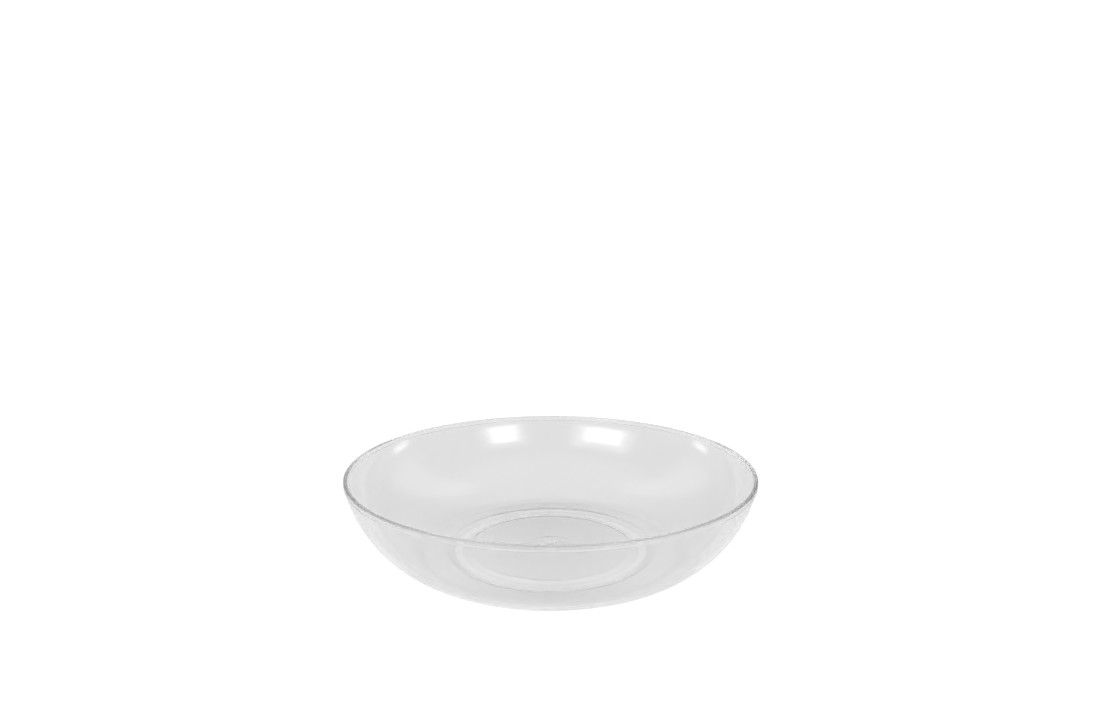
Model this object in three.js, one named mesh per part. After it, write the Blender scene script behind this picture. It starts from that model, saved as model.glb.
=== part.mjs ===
// Clear moulded plant saucer: one round, shallow, thin-walled bowl on a low foot ring.
// Millimetres, +Z up. The origin is on the table, under the middle of the foot ring.

import * as THREE from 'three';

// Driving dimensions, in millimetres
const rimDiameter = 230;
const height = 50.8;
const wallThickness = 1.8;
const rimBandHeight = 3.1;
const rimBandStep = 0.45;
const rimThickness = 2.2;
const lipRadius = 0.9;
const bandCorner = 0.3;
const floorDiameter = 141.2;
const footHeight = 0.8;
const footMiddle = 53.3;
const footWidth = 13.4;
const grooveWidth = 12.6;
const footSlope = THREE.MathUtils.degToRad(34);
const footCorner = 0.5;
const gateDiameter = 8;
const gateHeight = 2.2;
const gateCorner = 1.6;

// Shape of the wall: its lean from upright below the rim, how far down it keeps that lean,
// and how far out it stays level at the foot
const wallLean = THREE.MathUtils.degToRad(12.78);
const topReach = 30.8;
const footReach = 13.8;

// How finely the curves are divided
const turnSteps = 80;
const wallSteps = 12;
const lipSteps = 4;
const cornerSteps = 2;

// Radii and levels that follow from the sizes above
const rimRadius = rimDiameter / 2;
const rimInnerRadius = rimRadius - rimThickness;
const wallTopRadius = rimRadius - rimBandStep;
const floorRadius = floorDiameter / 2;
const gateRadius = gateDiameter / 2;
const underside = footHeight;
const floorTop = underside + wallThickness;
const bandBottom = height - rimBandHeight;

// The direction in which the wall falls away below the rim
const wallFall = -Math.PI / 2 - wallLean;

// A point of the profile: its radius, then its level
function at(radius, level) {
  return new THREE.Vector2(radius, level);
}

// The point a given length away from another, at an angle from level
function away(from, angle, length) {
  return at(from.x + length * Math.cos(angle), from.y + length * Math.sin(angle));
}

// A corner rounded by a curve that starts and ends a given length along its two sides
function rounded(before, corner, after, length) {
  const start = corner.clone().lerp(before, length / corner.distanceTo(before));
  const end = corner.clone().lerp(after, length / corner.distanceTo(after));
  return new THREE.QuadraticBezierCurve(start, corner, end).getPoints(cornerSteps);
}

// A path through some corners, each but the two ends rounded by its own length
function roundedPath(corners, lengths) {
  const bends = lengths.flatMap((length, i) => (
    rounded(corners[i], corners[i + 1], corners[i + 2], length)
  ));
  return [corners[0], ...bends, corners[corners.length - 1]];
}

// A quarter of the round lip, from one angle to the next
function lipArc(centreRadius, fromAngle, toAngle) {
  const lip = new THREE.EllipseCurve(
    centreRadius, height - lipRadius, lipRadius, lipRadius, fromAngle, toAngle,
  );
  return lip.getPoints(lipSteps);
}

// The outer face of the wall, as one curve from its foot up to the rim band
function wallCurve() {
  const foot = at(floorRadius, underside);
  const top = at(wallTopRadius, bandBottom);
  return new THREE.CubicBezierCurve(
    foot, away(foot, 0, footReach), away(top, wallFall, topReach), top,
  );
}

// The inner face of the wall, one wall thickness inside the outer one
function innerFace(outer) {
  const points = [];
  for (let i = 0; i <= wallSteps; i += 1) {
    const along = outer.getTangent(i / wallSteps);
    const square = Math.atan2(along.y, along.x) + Math.PI / 2;
    points.push(away(outer.getPoint(i / wallSteps), square, wallThickness));
  }
  return points;
}

// Where the wall's inner face, run on down from the rim, meets the upright land inside it
function landFoot(innerTop) {
  const slide = (innerTop.x - rimInnerRadius) / Math.sin(wallLean);
  return away(innerTop, wallFall, slide);
}

// One face of the foot ring, which sinks below a level, from inside to outside. The same
// form, a little narrower, is the shallow groove that the ring leaves in the floor above it.
function footRing(level, width) {
  const half = width / 2;
  const run = footHeight / Math.tan(footSlope);
  return [
    at(footMiddle - half, level),
    at(footMiddle - half + run, level - footHeight),
    at(footMiddle + half - run, level - footHeight),
    at(footMiddle + half, level),
  ];
}

// The rim, from the step below its band, over the round lip, to the land inside
function rim() {
  return [
    at(rimRadius - bandCorner, bandBottom),
    at(rimRadius, bandBottom + bandCorner),
    ...lipArc(rimRadius - lipRadius, 0, Math.PI / 2),
    ...lipArc(rimInnerRadius + lipRadius, Math.PI / 2, Math.PI),
  ];
}

// The round button that the gate leaves in the middle of the floor, from its foot inwards
function gateMark() {
  const top = floorTop + gateHeight;
  const foot = at(gateRadius, floorTop);
  return [
    foot,
    ...rounded(foot, at(gateRadius, top), at(0, top), gateCorner),
    at(0, top),
  ];
}

// The whole outline: under the floor, up the outside, over the rim and down the inside
function saucerProfile() {
  const wall = wallCurve();
  const outside = wall.getPoints(wallSteps);
  const offset = innerFace(wall);
  const land = landFoot(offset[wallSteps]);
  const inside = [...offset.slice(0, -1), land].reverse();
  const underRing = footRing(underside, footWidth);
  const groove = footRing(floorTop, grooveWidth).reverse();
  const bends = [footCorner, footCorner, footCorner, footCorner];
  const gate = gateMark();
  return [
    ...roundedPath([at(0, underside), ...underRing, outside[0]], bends),
    ...outside.slice(1),
    ...rim(),
    ...inside,
    ...roundedPath([inside[inside.length - 1], ...groove, gate[0]], bends).slice(1),
    ...gate.slice(1),
  ];
}

const clearPlastic = new THREE.MeshStandardMaterial({
  color: 0xe8e8e8,
  roughness: 0.06,
  metalness: 0,
  transparent: true,
  opacity: 0.35,
});

const turned = new THREE.LatheGeometry(saucerProfile(), turnSteps);
turned.rotateX(Math.PI / 2);

const saucer = new THREE.Mesh(turned, clearPlastic);
saucer.name = 'saucer';

const plantSaucer = new THREE.Group();
plantSaucer.add(saucer);

export default plantSaucer;
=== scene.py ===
# %% [markdown]
# # A clear plastic plant saucer
# The object is one injection moulding: a shallow round bowl about 230 mm across, with a
# thicker band round its rim, a low foot ring under its flat floor and the small round mark
# that the moulding gate leaves in the middle. There is only one piece, so all the work is
# in one outline, one clear material and the light that makes clear plastic readable.

import math

import bpy
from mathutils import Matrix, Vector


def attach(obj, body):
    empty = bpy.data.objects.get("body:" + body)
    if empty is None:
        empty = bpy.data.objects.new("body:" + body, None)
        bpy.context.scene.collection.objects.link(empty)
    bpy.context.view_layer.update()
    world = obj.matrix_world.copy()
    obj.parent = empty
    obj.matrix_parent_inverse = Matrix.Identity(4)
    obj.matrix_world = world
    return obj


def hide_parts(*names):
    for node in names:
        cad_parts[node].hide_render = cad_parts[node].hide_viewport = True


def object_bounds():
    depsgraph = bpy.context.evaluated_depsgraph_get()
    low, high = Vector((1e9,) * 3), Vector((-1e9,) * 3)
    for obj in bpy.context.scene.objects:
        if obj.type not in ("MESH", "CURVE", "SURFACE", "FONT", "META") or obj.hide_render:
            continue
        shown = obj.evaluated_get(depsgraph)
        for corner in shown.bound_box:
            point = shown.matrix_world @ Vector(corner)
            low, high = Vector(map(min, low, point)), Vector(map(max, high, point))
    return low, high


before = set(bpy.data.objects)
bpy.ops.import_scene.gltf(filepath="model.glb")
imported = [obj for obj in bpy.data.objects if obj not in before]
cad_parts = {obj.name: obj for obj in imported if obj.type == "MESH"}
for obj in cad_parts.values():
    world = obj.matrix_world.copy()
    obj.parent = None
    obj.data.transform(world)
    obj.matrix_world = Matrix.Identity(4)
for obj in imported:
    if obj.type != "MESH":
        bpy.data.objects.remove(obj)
cad_low, cad_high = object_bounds()
print("solid box in mm:", [round(1000 * v, 1) for v in (*cad_low, *cad_high)])

# %% [markdown]
# ## Units and small helpers
# Sizes are written in millimetres, as a drawing gives them, and Blender works in metres.
# Screen colours are hex values in sRGB. Light is added up in linear numbers, so one
# function turns a hex colour into a linear one. Another adds a node with its settings and
# links in one go, which keeps each material short enough to read. A third gives a noise
# texture its scale, which counts features per metre, from their real size in millimetres.

# %% Units, colours and nodes
MM = 0.001


def linear(hex_colour):
    """A linear RGBA colour from an sRGB hex value."""
    channels = [int(hex_colour[i:i + 2], 16) / 255 for i in (1, 3, 5)]
    return (*((c / 12.92 if c <= 0.04045 else ((c + 0.055) / 1.055) ** 2.4) for c in channels), 1)


def add_node(tree, kind, settings=None, links=None, **values):
    """A node with its settings, input values and links. A link may also be a plain number."""
    node = tree.nodes.new(kind)
    for name, value in (settings or {}).items():
        setattr(node, name, value)
    for name, value in values.items():
        node.inputs[name.replace("_", " ")].default_value = value
    for name, source in (links or {}).items():
        if isinstance(source, (int, float)):
            node.inputs[name].default_value = source
        else:
            tree.links.new(source, node.inputs[name])
    return node


def scale_for(size):
    """The scale at which a noise texture has features of a size in millimetres."""
    return round(1 / (size * MM))


def new_material(name):
    """An empty node material and its output node."""
    material = bpy.data.materials.new(name)
    material.use_nodes = True
    material.node_tree.nodes.clear()
    return material, material.node_tree.nodes.new("ShaderNodeOutputMaterial")


print("middle grey, #808080, as a linear number:", round(linear("#808080")[0], 3))


# %% [markdown]
# ## The outline
# A moulded saucer is a body of revolution, so its whole shape is one outline turned round
# the upright axis. The overall radius and height come from the frame. The rest are the
# sizes that a mould maker would put on the drawing. The outside of the wall is one smooth
# curve with four control points, and the inside is the same curve one wall thickness further
# in, as a mould is cut.
# The foot ring is a shallow channel: it sinks under the floor and leaves a groove above.
# Every corner is really rounded, because in clear plastic it is the corners and slopes that
# draw the lines: each one bends the light behind it into a thin dark or bright line.

# %% Sizes of the moulding, in millimetres
rim_radius = cad_high.x / MM
height = cad_high.z / MM

rim_band_height = 3.1
rim_band_step = 0.45
step_corner = 0.15
band_corner = 0.3
rim_thickness = 2.2
lip_radius = 0.9
land_corner = 0.4

wall_thickness = 1.8
wall_lean = math.radians(12.78)
foot_reach = 13.8
top_reach = 30.8

floor_radius = 70.6
foot_height = 0.8
foot_middle = 53.3
foot_width = 13.4
groove_width = 12.6
foot_slope = math.radians(12)
foot_corner = 0.9

gate_radius = 4.0
gate_height = 2.2
gate_corner = 1.6
gate_draft = 0.4
gate_foot_corner = 0.5
recess_radius = 11.9
recess_depth = 0.08
recess_side = 0.8
recess_corner = 0.25
print("rim radius", round(rim_radius, 2), "height", round(height, 2))

# %% Curves that the outline is made of
WALL_STEPS = 84
CORNER_STEPS = 10


def away(point, angle, length):
    """The point a length away from another, at an angle from level."""
    return (point[0] + length * math.cos(angle), point[1] + length * math.sin(angle))


def smooth_curve(controls, steps):
    """Points of a smooth curve: its controls are blended in pairs until one point is left."""
    points = []
    for i in range(steps + 1):
        t = i / steps
        row = list(controls)
        while len(row) > 1:
            row = [
                (a[0] + t * (b[0] - a[0]), a[1] + t * (b[1] - a[1]))
                for a, b in zip(row, row[1:])
            ]
        points.append(row[0])
    return points


def rounded(corner, before, after, length):
    """A rounded corner that runs a length along the sides towards its two neighbours."""
    ends = []
    for other in (before, after):
        angle = math.atan2(other[1] - corner[1], other[0] - corner[0])
        ends.append(away(corner, angle, length))
    return smooth_curve([ends[0], corner, ends[1]], CORNER_STEPS)


def rounded_path(corners, lengths):
    """A path through corners, each rounded by its own length. The ends stay as they are."""
    path = [corners[0]]
    for i, length in enumerate(lengths, 1):
        path += rounded(corners[i], corners[i - 1], corners[i + 1], length)
    return path + [corners[-1]]


print("points on the wall:", WALL_STEPS + 1, "and on each corner:", CORNER_STEPS + 1)


# %% The lower face and the outside, from under the floor to the top of the wall
under = foot_height
floor_top = under + wall_thickness
band_bottom = height - rim_band_height
fall = -math.pi / 2 - wall_lean
wall_foot = (floor_radius, under)
wall_top = (rim_radius - rim_band_step, band_bottom)
foot_pull = away(wall_foot, 0, foot_reach)
top_pull = away(wall_top, fall, top_reach)
outer_wall = smooth_curve([wall_foot, foot_pull, top_pull, wall_top], WALL_STEPS)


def foot_ring(level, width):
    """The corners of the foot ring on one face of the floor, from the middle outwards."""
    half = width / 2
    run = foot_height / math.tan(foot_slope)
    return [
        (foot_middle - half, level),
        (foot_middle - half + run, level - foot_height),
        (foot_middle + half - run, level - foot_height),
        (foot_middle + half, level),
    ]


below = rounded_path([(0, under), *foot_ring(under, foot_width), outer_wall[0]], [foot_corner] * 4)
print("wall from", [round(v, 2) for v in wall_foot], "to", [round(v, 2) for v in wall_top])

# %% [markdown]
# ## The rim and the gate
# The rim is the strong part of a saucer: a band that stands out a little, a narrow lip and
# an upright land inside it. In the middle of the floor the gate has left a round button in
# a hardly sunk recess. Both are a few more corners of the same outline, so they need no
# mesh of their own, and no seam can show where they meet the wall or the floor.


# %% The inside of the wall
def inward(points, thickness):
    """The same curve one wall thickness further in, measured square to the curve."""
    moved = []
    for i, point in enumerate(points):
        a, b = points[max(i - 1, 0)], points[min(i + 1, len(points) - 1)]
        square = math.atan2(b[1] - a[1], b[0] - a[0]) + math.pi / 2
        moved.append(away(point, square, thickness))
    return moved


rim_inner_radius = rim_radius - rim_thickness
inner_wall = inward(outer_wall, wall_thickness)
behind = inner_wall[-1]
land_foot = away(behind, fall, (behind[0] - rim_inner_radius) / math.sin(wall_lean))
inner_wall = [point for point in inner_wall if point[1] < land_foot[1] - land_corner]
print("the inside of the wall meets the rim at", [round(v, 2) for v in land_foot])

# %% The rim, and the upper face back to the middle
band_foot = (rim_radius, band_bottom)
lip_outside = (rim_radius, height)
lip_inside = (rim_inner_radius, height)
rim = [
    *rounded(wall_top, outer_wall[-2], band_foot, step_corner),
    *rounded(band_foot, wall_top, lip_outside, band_corner),
    *rounded(lip_outside, band_foot, lip_inside, lip_radius),
    *rounded(lip_inside, lip_outside, land_foot, lip_radius),
    *rounded(land_foot, lip_inside, inner_wall[-1], land_corner),
]

gate_top = floor_top + gate_height
recess_floor = floor_top - recess_depth
middle = rounded_path(
    [
        (0, gate_top),
        (gate_radius, gate_top),
        (gate_radius + gate_draft, recess_floor),
        (recess_radius, recess_floor),
        (recess_radius + recess_side, floor_top),
        *foot_ring(floor_top, groove_width),
        inner_wall[0],
    ],
    [gate_corner, gate_foot_corner, recess_corner, recess_corner] + [foot_corner] * 4,
)

outline = [*below, *outer_wall[1:-1], *rim, *inner_wall[::-1][1:], *middle[::-1][1:]]
print("outline points:", len(outline))

# %% [markdown]
# ## From outline to shell
# Smooth shading blends the surface direction across each face. That is what a curved wall
# needs, but it would also tilt the light on a long flat face next to a tight corner. So
# each long stretch gets an extra point close to both ends, which keeps the blend inside the
# corner. The turned mesh is closed at the axis with a fan, so it is one watertight shell
# with a real thickness, and light is bent twice at each wall, as it is in the real one.

# %% Guard points next to the corners, in millimetres
LONG_STRETCH = 1.4
GUARD = 0.12


def guarded(points):
    """The outline with a guard point near both ends of each long straight stretch."""
    out = [points[0]]
    for a, b in zip(points, points[1:]):
        length = math.dist(a, b)
        if length < 1e-6:
            continue
        if length > LONG_STRETCH:
            step = GUARD / length
            out.append((a[0] + (b[0] - a[0]) * step, a[1] + (b[1] - a[1]) * step))
            out.append((b[0] - (b[0] - a[0]) * step, b[1] - (b[1] - a[1]) * step))
        out.append(b)
    return out


guarded_outline = guarded(outline)
print("outline points with guards:", len(guarded_outline))

# %% Turn the outline into a closed shell
TURN_STEPS = 256


def turned_shell(name, points):
    """A smooth closed mesh from an outline that starts and ends on the axis."""
    rings = points[1:-1]
    vertices = [(0, 0, points[0][1] * MM)]
    for radius, level in rings:
        for i in range(TURN_STEPS):
            angle = 2 * math.pi * i / TURN_STEPS
            x, y = radius * math.cos(angle), radius * math.sin(angle)
            vertices.append((x * MM, y * MM, level * MM))
    vertices.append((0, 0, points[-1][1] * MM))
    last = len(vertices) - 1
    faces = []
    for i in range(TURN_STEPS):
        j = (i + 1) % TURN_STEPS
        faces.append((0, 1 + j, 1 + i))
        for ring in range(len(rings) - 1):
            a = 1 + ring * TURN_STEPS
            b = a + TURN_STEPS
            faces.append((a + i, a + j, b + j, b + i))
        end = 1 + (len(rings) - 1) * TURN_STEPS
        faces.append((end + i, end + j, last))
    mesh = bpy.data.meshes.new(name)
    mesh.from_pydata(vertices, [], faces)
    mesh.shade_smooth()
    mesh.validate()
    shell = bpy.data.objects.new(name, mesh)
    bpy.context.scene.collection.objects.link(shell)
    return shell


saucer_shell = turned_shell("saucer_shell", guarded_outline)
print("shell faces:", len(saucer_shell.data.polygons))

# %% [markdown]
# ## Clear polystyrene
# Clear saucers of this kind are moulded in general-purpose polystyrene, with an index of
# refraction of 1.59, which is why their edges look so bright and dark. A little light is
# lost inside the plastic, so a long way through the rim looks darker than the short way
# through the wall. The mould is polished, so both faces are glossy. They have faint waves
# some 26 mm long, which can't be seen one by one and only make the lines at the edges
# unsteady, and patches some 11 mm wide where the polish is a little better or worse.
# Bent light alone draws almost no line along the front of this rim, where the real one has a
# dark line. So the outer edge of the lip is painted grey, and this painted shade draws that
# line. It is a stand-in, because the real cause wasn't found. Its mask is made of two
# distances, from the axis and from the table.

# %% The waves and the polish that the mould leaves
clear, output = new_material("injection_moulded_clear_polystyrene")
tree = clear.node_tree
place = add_node(tree, "ShaderNodeTexCoord").outputs["Object"]
wave_length = 26.3
polish_patch = 11.1
swirl = add_node(
    tree, "ShaderNodeTexNoise", links={"Vector": place},
    Scale=scale_for(wave_length), Detail=2.0, Roughness=0.45,
)
wave = add_node(
    tree, "ShaderNodeBump", links={"Height": swirl.outputs["Fac"]},
    Strength=0.05, Distance=0.002,
)
haze = add_node(
    tree, "ShaderNodeTexNoise", links={"Vector": place},
    Scale=scale_for(polish_patch), Detail=4.0,
)
polish = add_node(
    tree, "ShaderNodeMapRange", links={"Value": haze.outputs["Fac"]},
    From_Min=0.35, From_Max=0.75, To_Min=0.02, To_Max=0.07,
)
print("waves", wave_length, "mm long, patches of polish", polish_patch, "mm wide")

# %% The painted shade on the outer edge of the lip
# Size of the painted shade on the lip, in millimetres: not rubbing, but a grey that draws the
# rim's dark line.
painted_shade_width = 0.9
painted_shade_height = 1.0
painted_shade_fade = 0.4
flat = add_node(tree, "ShaderNodeMapping", links={"Vector": place}, Scale=(1, 1, 0))
far_out = add_node(
    tree, "ShaderNodeVectorMath", {"operation": "LENGTH"}, {"Vector": flat.outputs["Vector"]}
)
level = add_node(tree, "ShaderNodeSeparateXYZ", links={"Vector": place})
outer = add_node(
    tree, "ShaderNodeMapRange", links={"Value": far_out.outputs["Value"]},
    From_Min=(rim_radius - painted_shade_width) * MM,
    From_Max=(rim_radius - painted_shade_width + painted_shade_fade) * MM,
)
painted_shade_mask = add_node(
    tree, "ShaderNodeMapRange",
    links={"Value": level.outputs["Z"], "To Max": outer.outputs["Result"]},
    From_Min=(height - painted_shade_height) * MM,
    From_Max=(height - painted_shade_height + painted_shade_fade) * MM,
)
# Painted shade: the grey end of this ramp darkens the outer edge of the lip and draws the dark
# line along the front of the rim.
painted_shade_ramp = add_node(tree, "ShaderNodeValToRGB", links={"Fac": painted_shade_mask.outputs["Result"]})
painted_shade_ramp.color_ramp.elements[0].color = linear("#FCFCFC")
painted_shade_ramp.color_ramp.elements[1].color = linear("#CCCCCE")
print("greyed edge:", painted_shade_width, "mm wide and", painted_shade_height, "mm high")

# %% The clear plastic
# The base colour carries the painted shade on the lip; everywhere else it is near white.
plastic = add_node(
    tree, "ShaderNodeBsdfPrincipled",
    links={
        "Base Color": painted_shade_ramp.outputs["Color"], "Roughness": polish.outputs["Result"],
        "Normal": wave.outputs["Normal"],
    },
    IOR=1.59, Transmission_Weight=1.0, Metallic=0.0,
)
loss = add_node(
    tree, "ShaderNodeVolumeAbsorption", Color=linear("#CACACC"), Density=0.6
)
tree.links.new(plastic.outputs["BSDF"], output.inputs["Surface"])
tree.links.new(loss.outputs["Volume"], output.inputs["Volume"])
saucer_shell.data.materials.append(clear)
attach(saucer_shell, "root")
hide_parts("saucer")
print("material:", clear.name, "with", len(tree.nodes), "nodes")

# %% [markdown]
# ## The table
# The photograph is a cut-out: outside the saucer the paper is pure white, but through the
# plastic the table still shows as the light grey that it was. So the floor is a pale
# table that gives the camera pure white, and gives every ray that has met the plastic its own
# light grey. Part of that grey is a glow, set by comparing its tones with the photograph and
# strongest a little in front of the middle. The rest is plain paper, which the plastic shades.
# The card is uncoated and pressed matt, so it shades softly and mirrors next to nothing. The
# grain of real card, about 0.1 mm wide, is too fine to show and is drawn 1.1 mm wide.

# %% The table
reach = 4.0
floor_mesh = bpy.data.meshes.new("studio_table")
table_corners = [(-reach, -reach, 0), (reach, -reach, 0), (reach, reach, 0), (-reach, reach, 0)]
floor_mesh.from_pydata(table_corners, [], [(0, 1, 2, 3)])
studio_table = bpy.data.objects.new("studio_table", floor_mesh)
bpy.context.scene.collection.objects.link(studio_table)
print("table:", 2 * reach, "m square")

# %% The grain of the card, and its glow from front to back
card, output = new_material("matt_white_card")
tree = card.node_tree
place = add_node(tree, "ShaderNodeTexCoord").outputs["Object"]
grain_width = 1.111
grain = add_node(
    tree, "ShaderNodeTexNoise", links={"Vector": place}, Scale=scale_for(grain_width), Detail=2.0
)
pulp = add_node(
    tree, "ShaderNodeBump", links={"Height": grain.outputs["Fac"]},
    Strength=0.02, Distance=0.0005,
)
depth = add_node(tree, "ShaderNodeSeparateXYZ", links={"Vector": place}).outputs["Y"]
along = add_node(
    tree, "ShaderNodeMapRange", links={"Value": depth}, From_Min=-0.15, From_Max=0.15
)
lit = add_node(tree, "ShaderNodeValToRGB", links={"Fac": along.outputs["Result"]})
lit.color_ramp.interpolation = "EASE"
glows = ((0.27, 0.18), (0.38, 0.27), (0.50, 0.25), (0.75, 0.20))
stops = lit.color_ramp.elements
while len(stops) < len(glows):
    stops.new(0.5)
for stop, (spot, glow) in zip(stops, glows):
    stop.position = spot
    stop.color = (glow, glow, glow, 1)
print("glow from front to back:", [glow for _, glow in glows])

# %% The card as the plastic shows it, and as the camera sees it
PAPER_WHITE = 1.06
white = linear("#FFFFFF")
paper = add_node(
    tree, "ShaderNodeBsdfPrincipled",
    links={"Normal": pulp.outputs["Normal"], "Emission Strength": lit.outputs["Color"]},
    Base_Color=linear("#EDEDED"), Roughness=0.9, Specular_IOR_Level=0.2,
    Emission_Color=white,
)
cut_out = add_node(tree, "ShaderNodeEmission", Color=white, Strength=PAPER_WHITE)
seen = add_node(tree, "ShaderNodeLightPath").outputs["Is Camera Ray"]
either = add_node(
    tree, "ShaderNodeMixShader",
    links={0: seen, 1: paper.outputs["BSDF"], 2: cut_out.outputs["Emission"]},
)
tree.links.new(either.outputs["Shader"], output.inputs["Surface"])
floor_mesh.materials.append(card)
print("material:", card.name, "with", len(tree.nodes), "nodes")

# %% [markdown]
# ## The studio
# Clear plastic shows only what is behind it and what it mirrors, so the light is drawn
# where the plastic looks for it: on the sphere round the scene, by azimuth (0 is the side
# of the camera) and elevation. Area lamps could stand there instead, but they have hard
# edges, and here the edges of each light must fade as those of a soft box do.
# The walls mirror two windows in front as the two bright patches at the back, and two small
# lights at the sides as the short bright marks. The room is a little darker low down behind
# the saucer, which gives the middle of the far wall its faint grey.

# %% Directions in the room
world = bpy.data.worlds.new("studio")
bpy.context.scene.world = world
world.use_nodes = True
room = world.node_tree
room.nodes.clear()
way = add_node(room, "ShaderNodeTexCoord").outputs["Generated"]
parts = add_node(room, "ShaderNodeSeparateXYZ", links={"Vector": way})
behind_camera = add_node(
    room, "ShaderNodeMath", {"operation": "MULTIPLY"}, {0: parts.outputs["Y"], 1: -1.0}
)
turned = add_node(
    room, "ShaderNodeMath", {"operation": "ARCTAN2"},
    {0: parts.outputs["X"], 1: behind_camera.outputs["Value"]},
)
raised = add_node(room, "ShaderNodeMath", {"operation": "ARCSINE"}, {0: parts.outputs["Z"]})
azimuth, elevation = (
    add_node(
        room, "ShaderNodeMath", {"operation": "DEGREES"}, {0: angle.outputs["Value"]}
    ).outputs["Value"]
    for angle in (turned, raised)
)
print("nodes that turn a direction into angles:", len(room.nodes))

# %% The plain walls and the ceiling
SOFT_STEP = {"interpolation_type": "SMOOTHSTEP"}
walls = add_node(
    room, "ShaderNodeMapRange", SOFT_STEP, {"Value": elevation},
    From_Min=6.0, From_Max=16.0, To_Min=0.54, To_Max=0.41,
)
ceiling = add_node(
    room, "ShaderNodeMapRange", SOFT_STEP, {"Value": elevation},
    From_Min=38.0, From_Max=60.0, To_Min=0.0, To_Max=0.34,
)
light = add_node(
    room, "ShaderNodeMath", {"operation": "ADD"},
    {0: walls.outputs["Result"], 1: ceiling.outputs["Result"]},
).outputs["Value"]
print("room nodes so far:", len(room.nodes))


# %% The lights, each with soft edges
def soft_box(centre, half_size, fade, radiance):
    """A soft-edged light: its middle and half size as azimuth and elevation in degrees."""
    glow = radiance
    for angle, middle, half, soft in zip((azimuth, elevation), centre, half_size, fade):
        off = add_node(room, "ShaderNodeMath", {"operation": "SUBTRACT"}, {0: angle, 1: middle})
        distance = add_node(
            room, "ShaderNodeMath", {"operation": "ABSOLUTE"}, {0: off.outputs["Value"]}
        )
        edge = add_node(
            room, "ShaderNodeMapRange", SOFT_STEP,
            {"Value": distance.outputs["Value"], "To Min": glow},
            From_Min=half - soft, From_Max=half + soft, To_Max=0.0,
        )
        glow = edge.outputs["Result"]
    return glow


windows = [
    ((32, 22.8), (9.5, 8.5), (5, 2.5), 2.6),
    ((-36, 24), (13, 7.5), (5, 2.5), 2.6),
]
window_glow = [
    ((32, 25), (16, 12), (6, 4), 0.6),
    ((-36, 26), (21, 12), (6, 4), 1.0),
]
side_walls = [((side * 111, 38), (14, 24), (8, 8), 0.4) for side in (1, -1)]
side_lamps = [((side * 105, 5.5), (6, 2), (4, 1.5), 1.8) for side in (1, -1)]
lights = windows + window_glow + side_walls + side_lamps
for box in lights:
    light = add_node(
        room, "ShaderNodeMath", {"operation": "ADD"}, {0: light, 1: soft_box(*box)}
    ).outputs["Value"]
print("soft lights:", len(lights))

# %% The darker part behind the saucer
side_on = add_node(room, "ShaderNodeMath", {"operation": "ABSOLUTE"}, {0: azimuth})
from_back = add_node(
    room, "ShaderNodeMath", {"operation": "SUBTRACT"}, {0: 180.0, 1: side_on.outputs["Value"]}
).outputs["Value"]
wide_dim = add_node(
    room, "ShaderNodeMapRange", SOFT_STEP, {"Value": from_back},
    From_Min=20.0, From_Max=60.0, To_Min=-0.06, To_Max=0.0,
)
narrow_dim = add_node(
    room, "ShaderNodeMapRange", SOFT_STEP, {"Value": from_back},
    From_Min=0.0, From_Max=8.0, To_Min=-0.20, To_Max=0.0,
)
dim = add_node(
    room, "ShaderNodeMath", {"operation": "ADD"},
    {0: wide_dim.outputs["Result"], 1: narrow_dim.outputs["Result"]},
)
above_table = add_node(
    room, "ShaderNodeMapRange", SOFT_STEP, {"Value": elevation, "To Max": dim.outputs["Value"]},
    From_Min=6.0, From_Max=14.0, To_Min=0.0,
)
below_ceiling = add_node(
    room, "ShaderNodeMapRange", SOFT_STEP,
    {"Value": elevation, "To Min": above_table.outputs["Result"]},
    From_Min=40.0, From_Max=60.0, To_Max=0.0,
)
light = add_node(
    room, "ShaderNodeMath", {"operation": "ADD"}, {0: light, 1: below_ceiling.outputs["Result"]}
).outputs["Value"]
print("room nodes so far:", len(room.nodes))

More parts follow.
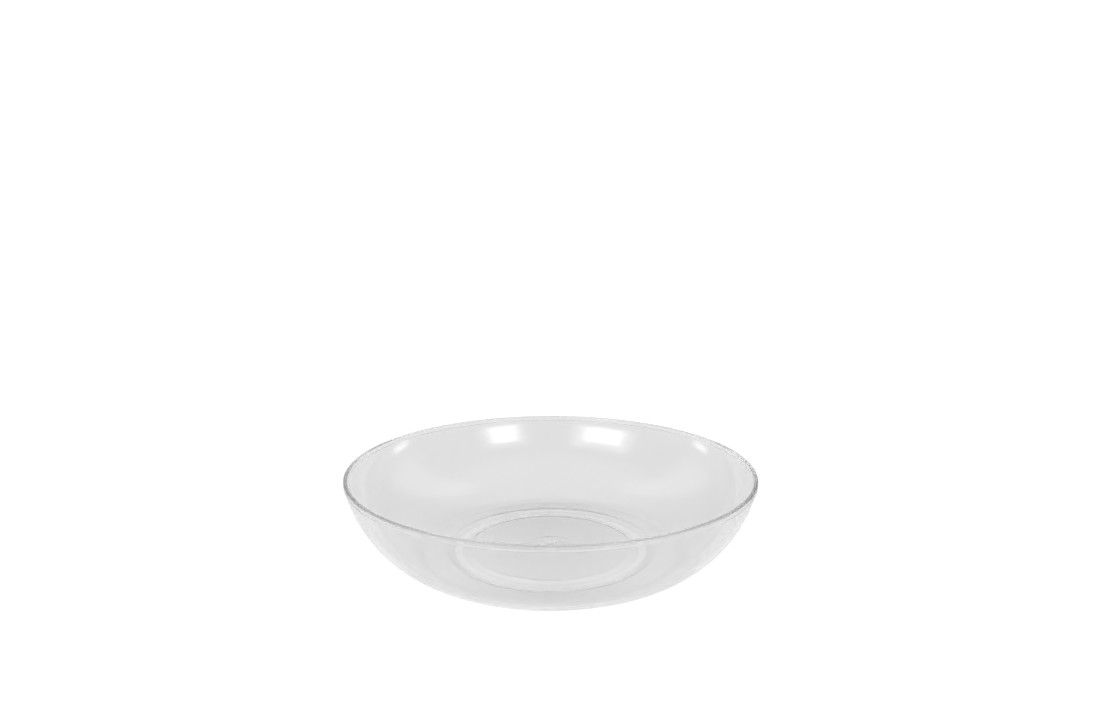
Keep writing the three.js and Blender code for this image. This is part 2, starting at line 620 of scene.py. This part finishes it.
# %% The room as the plastic shows it, and the white that the camera sees
sky = add_node(room, "ShaderNodeBackground", links={"Strength": light}, Color=white)
backdrop = add_node(room, "ShaderNodeBackground", Color=white, Strength=PAPER_WHITE)
seen = add_node(room, "ShaderNodeLightPath").outputs["Is Camera Ray"]
either = add_node(
    room, "ShaderNodeMixShader",
    links={0: seen, 1: sky.outputs["Background"], 2: backdrop.outputs["Background"]},
)
add_node(room, "ShaderNodeOutputWorld", links={"Surface": either.outputs["Shader"]})
print("room nodes in all:", len(room.nodes))

# %% [markdown]
# ## Camera
# The camera stands about where the photographer stood: close to the table, almost four rim
# radii away and a little more than one above the rim. Its lens is given as pixels of the
# photograph, which is how a camera is fitted to a picture: the distance and the height set
# how round the rim looks, and the focal length then sets its size. This fit is good to one
# or two pixels.

# %% The camera
IMAGE_WIDTH = 1100
FOCAL_PIXELS = 800
CAMERA_PITCH = 9.654
CAMERA_DISTANCE = 3.8264
CAMERA_RISE = 1.2065
CENTRE_SHIFT = -0.64
SENSOR_WIDTH = 36
camera_data = bpy.data.cameras.new("camera")
camera_data.sensor_width = SENSOR_WIDTH
camera_data.lens = SENSOR_WIDTH * FOCAL_PIXELS / IMAGE_WIDTH
camera = bpy.data.objects.new("camera", camera_data)
camera.location = (
    0, -CAMERA_DISTANCE * rim_radius * MM, (height + CAMERA_RISE * rim_radius) * MM
)
camera.rotation_euler = (math.radians(90 - CAMERA_PITCH), 0, 0)
camera_data.shift_x = CENTRE_SHIFT / IMAGE_WIDTH
bpy.context.scene.collection.objects.link(camera)
bpy.context.scene.camera = camera
bpy.context.scene.view_settings.view_transform = "Standard"
print("camera at", [round(v, 3) for v in camera.location], "lens", round(camera_data.lens, 2))

# %% [markdown]
# ## How far light is followed
# Light that enters the edge of a clear wall runs on inside it, mirrored from face to face as
# in a light guide, until it meets a corner that lets it out. Blender's own limits drop a ray
# after a dozen mirrorings at most, and a dropped ray is black, so the edges of clear plastic
# turn into thick black lines. A higher limit lets most of these rays out again, and the edges
# turn grey and bright, as real ones are. Some of this light is mirrored more than 160 times on
# its way round the bowl: with that limit the rim at the sides renders visibly darker.

# %% Light paths
MOST_MIRRORINGS = 256
paths = bpy.context.scene.cycles
paths.max_bounces = MOST_MIRRORINGS
paths.transmission_bounces = MOST_MIRRORINGS
paths.glossy_bounces = MOST_MIRRORINGS
paths.blur_glossy = 0.0
print("light is followed for", MOST_MIRRORINGS, "bounces")
